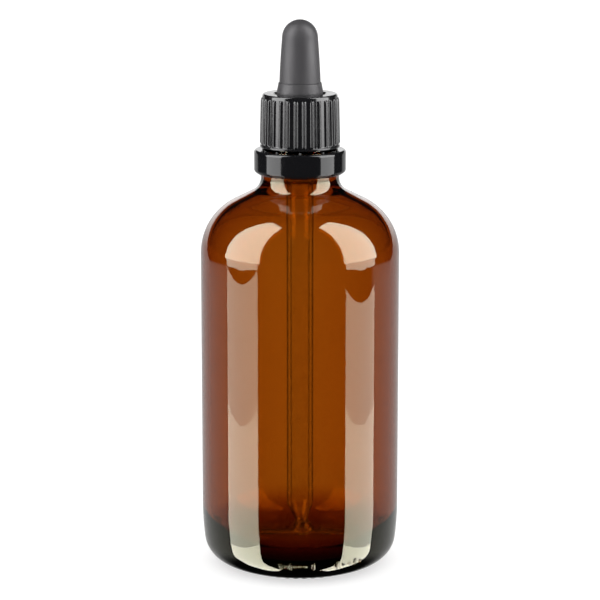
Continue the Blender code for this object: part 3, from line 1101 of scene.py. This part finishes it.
@dataclass
class TamperRing:
    """The loose ring under the cap, with its snap lip and the stubs of its snapped bridges."""

    top_z: float = 100.2 * MM
    bottom_z: float = 94.5 * MM
    outer_r: float = 10.8 * MM
    inner_r: float = 9.45 * MM
    chamfer: float = 0.9 * MM
    top_round: float = 0.5 * MM
    lip: float = 0.85 * MM
    lip_height: float = 0.6 * MM
    lip_z: float = 95.5 * MM
    post_r: float = 9.075 * MM
    post_seat: float = 0.375 * MM
    posts: int = 10
    stub_r: float = 0.22 * MM
    stub_top_z: float = 100.6 * MM
    columns: int = 160

    def outline(self) -> list[Point]:
        """Draws the section, closed on itself."""
        top_lip_r = self.post_r - self.post_seat
        top_lip_z = self.top_z - 0.7 * MM
        corners = [
            (top_lip_r + 0.3 * MM, self.top_z, 0.0),
            (self.outer_r, self.top_z, self.top_round),
            (self.outer_r, self.bottom_z + self.chamfer, 0.35 * MM),
            (self.outer_r - 0.2 * self.chamfer, self.bottom_z + 0.6 * self.chamfer, 0.4 * MM),
            (self.outer_r - self.chamfer, self.bottom_z, 0.18 * MM),
            (self.inner_r, self.bottom_z, 0.15 * MM),
            (self.inner_r, self.lip_z, 0.08 * MM),
            (self.inner_r - self.lip, self.lip_z + 0.2 * self.lip_height, 0.08 * MM),
            (self.inner_r - self.lip, self.lip_z + self.lip_height, 0.08 * MM),
            (self.inner_r, self.lip_z + 1.4 * self.lip_height, 0.08 * MM),
            (self.inner_r, top_lip_z, 0.1 * MM),
            (top_lip_r, top_lip_z, 0.1 * MM),
            (top_lip_r, self.top_z, 0.12 * MM),
            (top_lip_r + 0.3 * MM, self.top_z, 0.0),
        ]
        return supported(rounded(corners, 5), 0.25 * MM)

    def build(self, material: bpy.types.Material) -> bpy.types.Object:
        """Builds the ring.

        Args:
            material: The plastic.

        Returns:
            The piece.
        """
        shape = turned(self.outline(), self.columns)
        low_z = self.top_z - 0.3 * MM
        for i in range(self.posts):
            turn = Matrix.Rotation(TAU * (i + 0.5) / self.posts, 4, "Z")
            place = Matrix.Translation((self.post_r, 0.0, (low_z + self.stub_top_z) / 2))
            bmesh.ops.create_cone(
                shape,
                cap_ends=True,
                cap_tris=False,
                segments=20,
                radius1=1.6 * self.stub_r,
                radius2=self.stub_r,
                depth=self.stub_top_z - low_z,
                matrix=turn @ place,
            )
        return make_piece("tamper_band", shape, material, 40.0)


@dataclass
class RubberBulb:
    """The squeeze bulb: plug, flange, skirt and a teat made of two walls."""

    sleeve_r: float = 3.4 * MM
    plug_r: float = 5.6 * MM
    plug_z: float = 105.7 * MM
    flange_r: float = 7.6 * MM
    flange_z: float = 110.3 * MM
    flange_thickness: float = 1.3 * MM
    neck_r: float = 5.45 * MM
    cap_top_z: float = 113.4 * MM
    skirt_r: float = 5.45 * MM
    skirt_top_r: float = 5.05 * MM
    skirt_top_z: float = 115.9 * MM
    foot_r: float = 4.84 * MM
    teat_r: float = 4.2 * MM
    top_z: float = 130.65 * MM
    wall: float = 1.2 * MM
    swell: float = 0.06 * MM
    foot_height: float = 0.6 * MM
    columns: int = 128
    press_reach: float = 3.6 * MM
    press_rise: float = 7.0 * MM

    def collar_outline(self) -> list[Point]:
        """Draws the foot's section, closed on itself."""
        flange_top = self.flange_z + self.flange_thickness
        corners = [
            (self.sleeve_r, self.skirt_top_z - 1.0 * MM, 0.0),
            (self.sleeve_r, self.skirt_top_z, 0.2 * MM),
            (self.skirt_top_r, self.skirt_top_z, 0.06 * MM),
            (self.skirt_r, self.cap_top_z + 0.34 * MM, 0.5 * MM),
            (self.neck_r, self.cap_top_z - 0.75 * MM, 0.3 * MM),
            (self.neck_r, flange_top, 0.15 * MM),
            (self.flange_r, flange_top, 0.3 * MM),
            (self.flange_r, self.flange_z, 0.3 * MM),
            (self.plug_r, self.flange_z, 0.15 * MM),
            (self.plug_r, self.plug_z, 0.5 * MM),
            (self.sleeve_r, self.plug_z, 0.2 * MM),
            (self.sleeve_r, self.plug_z + 1.0 * MM, 0.0),
            (self.sleeve_r, self.skirt_top_z - 1.0 * MM, 0.0),
        ]
        return supported(rounded(corners, 5), 0.3 * MM)

    def teat_outline(self) -> list[Point]:
        """Draws the teat's section, closed on itself, from its top down the outside and up the inside."""
        dome_z = self.top_z - self.teat_r
        inner_r = self.teat_r - self.wall
        outside = arc((0.0, dome_z), self.teat_r, math.pi / 2, 0.0, 20)
        steps = 26
        for i in range(1, steps):
            share = i / steps
            radius, z = Vector((self.teat_r, dome_z)).lerp((self.foot_r, self.skirt_top_z), share)
            outside.append((radius + self.swell * math.sin(math.pi * share), z))
        inner_foot = (self.foot_r - self.wall, self.skirt_top_z + self.foot_height)
        foot = rounded(
            [
                (*outside[-1], 0.0),
                (self.foot_r, self.skirt_top_z, 0.04 * MM),
                (self.foot_r - self.wall, self.skirt_top_z, 0.1 * MM),
                (*inner_foot, 0.0),
            ],
            4,
        )
        inside = [tuple(Vector(inner_foot).lerp((inner_r, dome_z), i / 16)) for i in range(1, 16)]
        cavity = arc((0.0, dome_z), inner_r, 0.0, math.pi / 2, 12)
        return outside + foot[1:] + inside + cavity

    def build_collar(self, material: bpy.types.Material) -> bpy.types.Object:
        """Builds the foot of the bulb.

        Args:
            material: The rubber.

        Returns:
            The piece.
        """
        shape = turned(self.collar_outline(), self.columns)
        return make_piece("bulb_foot", shape, material, 50.0)

    def build_wall(self, side: Side, material: bpy.types.Material) -> bpy.types.Object:
        """Builds one wall of the teat, which ends on the mould's parting line.

        Args:
            side: The wall to build.
            material: The rubber.

        Returns:
            The piece.
        """
        shape = turned(self.teat_outline(), self.columns)
        cut = bmesh.ops.bisect_plane(
            shape,
            geom=shape.verts[:] + shape.edges[:] + shape.faces[:],
            dist=MERGE_DISTANCE,
            plane_co=(0.0, 0.0, 0.0),
            plane_no=(-side.value, 0.0, 0.0),
            clear_outer=True,
        )
        rim = [item for item in cut["geom_cut"] if isinstance(item, bmesh.types.BMEdge)]
        bmesh.ops.contextual_create(shape, geom=rim)
        bmesh.ops.recalc_face_normals(shape, faces=shape.faces[:])
        return make_piece(f"teat_{side.name.lower()}", shape, material, 50.0)


@dataclass
class GlassPipette:
    """The drawn glass tube with its ball tip bent off the axis."""

    tube_r: float = 3.2 * MM
    wall: float = 0.9 * MM
    top_z: float = 115.6 * MM
    tip_z: float = 5.35 * MM
    tip_r: float = 1.25 * MM
    tip_bore_r: float = 0.45 * MM
    tip_length: float = 2.6 * MM
    ball_r: float = 2.4 * MM
    neck_r: float = 1.5 * MM
    taper: float = 3.6 * MM
    bend: float = math.radians(17.0)
    heading: float = math.radians(-70.0)
    columns: int = 96

    def outline(self) -> list[Point]:
        """Draws the upright section, closed on itself."""
        ball_z = self.tip_z + self.tip_length
        neck_z = ball_z + 1.05 * self.ball_r
        tube_z = neck_z + self.taper
        bore_r = self.tube_r - self.wall
        low = -math.acos(self.tip_r / self.ball_r)
        high = math.acos(self.neck_r / self.ball_r)
        head = rounded(
            [
                (bore_r, self.top_z - 1.0 * MM, 0.0),
                (bore_r, self.top_z, 0.3 * MM),
                (self.tube_r, self.top_z, 0.35 * MM),
                (self.tube_r, tube_z, 2.5 * MM),
                (self.neck_r, neck_z + 0.15 * MM, 0.5 * MM),
                (self.ball_r * math.cos(high) + 0.02 * MM, ball_z + self.ball_r * math.sin(high), 0.0),
            ],
            8,
        )
        ball = arc((0.0, ball_z), self.ball_r, high, low, 20)
        tip = rounded(
            [
                (*ball[-1], 0.0),
                (self.tip_r - 0.2 * MM, self.tip_z, 0.3 * MM),
                (self.tip_bore_r, self.tip_z, 0.15 * MM),
                (self.tip_bore_r, ball_z - 0.5 * self.ball_r, 0.8 * MM),
                (self.ball_r - self.wall, ball_z, 0.9 * MM),
                (self.neck_r - 0.5 * self.wall, neck_z, 1.0 * MM),
                (bore_r, tube_z, 2.5 * MM),
                (bore_r, self.top_z - 1.0 * MM, 0.0),
            ],
            6,
        )
        return supported(head + ball[1:] + tip[1:], 0.5 * MM)

    def bent(self, shape: bmesh.types.BMesh) -> None:
        """Bends the tip off the axis and sets its lowest point back to the tip's height."""
        bend_z = self.tip_z + self.tip_length + self.ball_r + self.taper
        hinge = Vector((0.0, 0.0, 1.0)).cross(Vector((math.cos(self.heading), math.sin(self.heading), 0.0)))
        pivot = Vector((0.0, 0.0, bend_z))
        shares = [min(1.0, max(0.0, (bend_z - vert.co.z) / self.taper)) for vert in shape.verts]
        for vert, share in zip(shape.verts, shares):
            turn = Matrix.Rotation(-self.bend * share, 3, hinge)
            vert.co = pivot + turn @ (vert.co - pivot)
        lowest = min(vert.co.z for vert in shape.verts)
        for vert, share in zip(shape.verts, shares):
            vert.co.z += (self.tip_z - lowest) * share

    def build(self, material: bpy.types.Material) -> bpy.types.Object:
        """Builds the pipette.

        Args:
            material: The glass.

        Returns:
            The piece.
        """
        shape = turned(self.outline(), self.columns)
        self.bent(shape)
        return make_piece("pipette_tube", shape, material, 50.0)


# ---------------------------------------------------------------------------
# Studio
# ---------------------------------------------------------------------------


@dataclass(frozen=True)
class Softbox:
    """A soft window of light that faces the bottle.

    Args:
        name: The light's name.
        bearing: The angle in degrees from the front, positive to the right.
        half_width: Half the angle in degrees that it fills from side to side.
        low: The lowest height in metres.
        high: The highest height in metres.
        distance: The distance from the bottle's axis in metres.
        glow: How bright it looks, where the white room is 1.
    """

    name: str
    bearing: float
    half_width: float
    low: float
    high: float
    distance: float
    glow: float

    def build(self) -> None:
        """Builds the light. Only gloss and glass see it, so the floor keeps an even tone."""
        light = bpy.data.lights.new(self.name, "AREA")
        light.shape = "RECTANGLE"
        light.size = 2 * self.distance * math.tan(math.radians(self.half_width))
        light.size_y = self.high - self.low
        light.energy = self.glow * math.pi * light.size * light.size_y
        lamp = bpy.data.objects.new(self.name, light)
        bearing = math.radians(self.bearing)
        out = Vector((math.sin(bearing), -math.cos(bearing), 0.0))
        lamp.location = out * self.distance + Vector((0.0, 0.0, (self.low + self.high) / 2))
        lamp.rotation_mode = "QUATERNION"
        lamp.rotation_quaternion = (-out).to_track_quat("-Z", "Y")
        lamp.visible_camera = False
        lamp.visible_diffuse = False
        bpy.context.scene.collection.objects.link(lamp)


@dataclass(frozen=True)
class SoftboxColumn:
    """The five softboxes that stand one above the other at one side, with a gap in the middle.

    Args:
        name: The side's name.
        bearing: The angle in degrees from the front, positive to the right.
        half_width: Half the angle in degrees that they fill from side to side.
        upper_low: The lowest height of the upper one in metres, above the gap.
        lower_high: The highest height of the lower one in metres, below the gap.
        upper_high: The height at which the high one takes over from the upper one.
        spread: The extra half angle in degrees of the high one.
        highest: The top of the high one.
        lower_low: The height at which the low one takes over from the lower one.
        low_low: The height at which the lowest one takes over from the low one.
        lowest: The bottom of the lowest one.
        distance: The distance from the bottle's axis in metres.
        high_glow: How bright the high one looks, where the white room is 1, as all glows.
        upper_glow: How bright the upper one looks.
        lower_glow: How bright the lower one looks.
        low_glow: How bright the low one looks.
        lowest_glow: How bright the lowest one looks.
    """

    name: str
    bearing: float
    half_width: float
    upper_low: float
    lower_high: float
    upper_high: float = 0.06
    spread: float = 2.5
    highest: float = 1.5
    lower_low: float = -0.088
    low_low: float = -0.22
    lowest: float = -1.6
    distance: float = 0.5
    high_glow: float = 11.0
    upper_glow: float = 6.0
    lower_glow: float = 4.4
    low_glow: float = 6.8
    lowest_glow: float = 13.0

    def build(self) -> None:
        """Builds the lights."""
        for level, low, high, glow, spread in (
            ("high", self.upper_high, self.highest, self.high_glow, self.spread),
            ("upper", self.upper_low, self.upper_high, self.upper_glow, 0.0),
            ("lower", self.lower_low, self.lower_high, self.lower_glow, 0.0),
            ("low", self.low_low, self.lower_low, self.low_glow, 0.0),
            ("lowest", self.lowest, self.low_low, self.lowest_glow, 0.0),
        ):
            name = f"softbox_{self.name}_{level}"
            half_width = self.half_width + spread
            Softbox(name, self.bearing, half_width, low, high, self.distance, glow).build()


@dataclass
class Studio:
    """The pale floor, the white room, the softboxes and the camera.

    Args:
        floor_half: Half the floor's side in metres.
        camera_place: The camera's distance in front, as a negative Y, and its height in metres.
        camera_tilt: How far the camera looks down in degrees.
        lens: The focal length in millimetres.
        sensor: The sensor's width in millimetres.
        room_glow: How bright the room is for the eye and for matt surfaces.
        floor_glow: How much light the floor gives off, which fills in shadows.
        backdrop_glow: How bright gloss and glass see the backdrop above the horizon.
        table_glow: How bright they see the table below it.
        dark_glow: How bright they see the rest of the room.
        edge_rise: How much higher the bright area reaches straight behind the bottle than beside it.
    """

    floor_half: float = 3.0
    camera_place: Point = (-0.592, 0.1883)
    camera_tilt: float = 11.86
    lens: float = 152.6
    sensor: float = 36.0
    room_glow: float = 1.2
    floor_glow: float = 0.62
    backdrop_glow: float = 1.5
    table_glow: float = 0.68
    dark_glow: float = 0.01
    edge_rise: float = 0.4

    def build_floor(self) -> bpy.types.Object:
        """Builds the pale floor, which gloss doesn't see.

        Returns:
            The floor.
        """
        material, nodes, shader = new_material("pale_floor")
        place = nodes.add("ShaderNodeTexCoord")
        speckle = nodes.noise(place.outputs["Object"], 900.0, 2.0)
        nodes.link(nodes.blend(speckle, (0.5, 0.5, 0.5), (0.52, 0.52, 0.52)), shader.inputs["Base Color"])
        shader.inputs["Roughness"].default_value = 0.9
        shader.inputs["Specular IOR Level"].default_value = 0.0
        shader.inputs["Emission Color"].default_value = (1.0, 1.0, 1.0, 1.0)
        shader.inputs["Emission Strength"].default_value = self.floor_glow
        shape = bmesh.new()
        bmesh.ops.create_grid(shape, x_segments=1, y_segments=1, size=self.floor_half)
        floor = make_piece("floor", shape, material, 60.0)
        floor.visible_glossy = False
        return floor

    def build_room(self) -> None:
        """Builds the white room. Gloss and glass see white only low behind the bottle."""
        world = bpy.data.worlds.new("studio")
        world.use_nodes = True
        bpy.context.scene.world = world
        nodes = Nodes(world.node_tree)
        background = world.node_tree.nodes["Background"]
        place = nodes.add("ShaderNodeTexCoord")
        parts = nodes.add("ShaderNodeSeparateXYZ")
        nodes.link(place.outputs["Generated"], parts.inputs[0])
        behind = nodes.fit(parts.outputs["Y"], -0.02, 0.12)
        straight = nodes.fit(parts.outputs["Y"], 0.6, 0.95)
        rise = nodes.maths("MULTIPLY", straight, self.edge_rise)
        below_edge = nodes.fit(nodes.maths("SUBTRACT", parts.outputs["Z"], rise), -0.17, -0.2)
        above_feet = nodes.fit(parts.outputs["Z"], -0.75, -0.45)
        glow = nodes.fit(parts.outputs["Z"], -0.1, 0.1, self.table_glow, self.backdrop_glow)
        area = nodes.maths("MULTIPLY", nodes.maths("MULTIPLY", behind, below_edge), above_feet)
        seen = nodes.maths("ADD", nodes.maths("MULTIPLY", area, glow), self.dark_glow)
        rays = nodes.add("ShaderNodeLightPath")
        shiny = nodes.maths("MAXIMUM", rays.outputs["Is Glossy Ray"], rays.outputs["Is Transmission Ray"])
        mix = nodes.add("ShaderNodeMix", data_type="FLOAT")
        nodes.link(shiny, mix.inputs["Factor"])
        mix.inputs["A"].default_value = self.room_glow
        nodes.link(seen, mix.inputs["B"])
        nodes.link(mix.outputs["Result"], background.inputs["Strength"])
        background.inputs["Color"].default_value = (1.0, 1.0, 1.0, 1.0)

    def build_lights(self) -> None:
        """Hangs a column of softboxes at each side."""
        for side in (
            SoftboxColumn("left", -70.0, 21.3, -0.0205, -0.0264),
            SoftboxColumn("right", 73.5, 20.5, -0.0205, -0.0344),
        ):
            side.build()

    def build_camera(self) -> None:
        """Builds the camera."""
        lens = bpy.data.cameras.new("camera")
        lens.lens = self.lens
        lens.sensor_width = self.sensor
        lens.clip_start = 0.01
        camera = bpy.data.objects.new("camera", lens)
        camera.location = (0.0, *self.camera_place)
        camera.rotation_euler = (math.radians(90.0 - self.camera_tilt), 0.0, 0.0)
        bpy.context.scene.collection.objects.link(camera)
        bpy.context.scene.camera = camera

    def build(self) -> bpy.types.Object:
        """Builds the studio.

        Returns:
            The floor.
        """
        bpy.context.scene.view_settings.view_transform = "Standard"
        self.build_room()
        self.build_lights()
        self.build_camera()
        return self.build_floor()


def attach(piece: bpy.types.Object, body: Body) -> None:
    """Lets a piece ride on a body."""
    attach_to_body(piece, body.value)


def build_bulb(rubber: bpy.types.Material) -> None:
    """Builds the rubber bulb: its foot rides on the bulb body, and its two walls are built in place.

    Args:
        rubber: The rubber.
    """
    bulb = RubberBulb()
    foot = bulb.build_collar(rubber)
    attach(foot, Body.BULB)
    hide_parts("bulb_collar")
    for side, body, node in (
        (Side.LEFT, Body.BULB_LEFT, "bulb_wall_left"),
        (Side.RIGHT, Body.BULB_RIGHT, "bulb_wall_right"),
    ):
        wall = bulb.build_wall(side, rubber)
        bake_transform(wall)
        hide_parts(node)


def main() -> None:
    """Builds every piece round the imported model, then the studio."""
    logging.basicConfig(level=logging.INFO, format="%(name)s: %(message)s")
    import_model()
    groups = EffectGroups()
    amber = AMBER.material(groups)
    bottle = GlassBottle()
    glass = bottle.build(amber)
    attach(glass, Body.BOTTLE)
    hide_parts("glass_bottle")
    marks = HeelMarks(bottle).build(amber)
    attach(marks, Body.BOTTLE)
    cap = ScrewCap().build(CAP_BLACK.material(groups))
    attach(cap, Body.CAP)
    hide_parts("screw_cap")
    ring = TamperRing().build(RING_BLACK.material(groups))
    attach(ring, Body.TAMPER)
    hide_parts("tamper_ring")
    build_bulb(BULB_BLACK.material(groups))
    pipette = GlassPipette().build(CLEAR.material(groups))
    attach(pipette, Body.PIPETTE)
    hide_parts("glass_pipette")
    Studio().build()


if __name__ == "__main__":
    main()
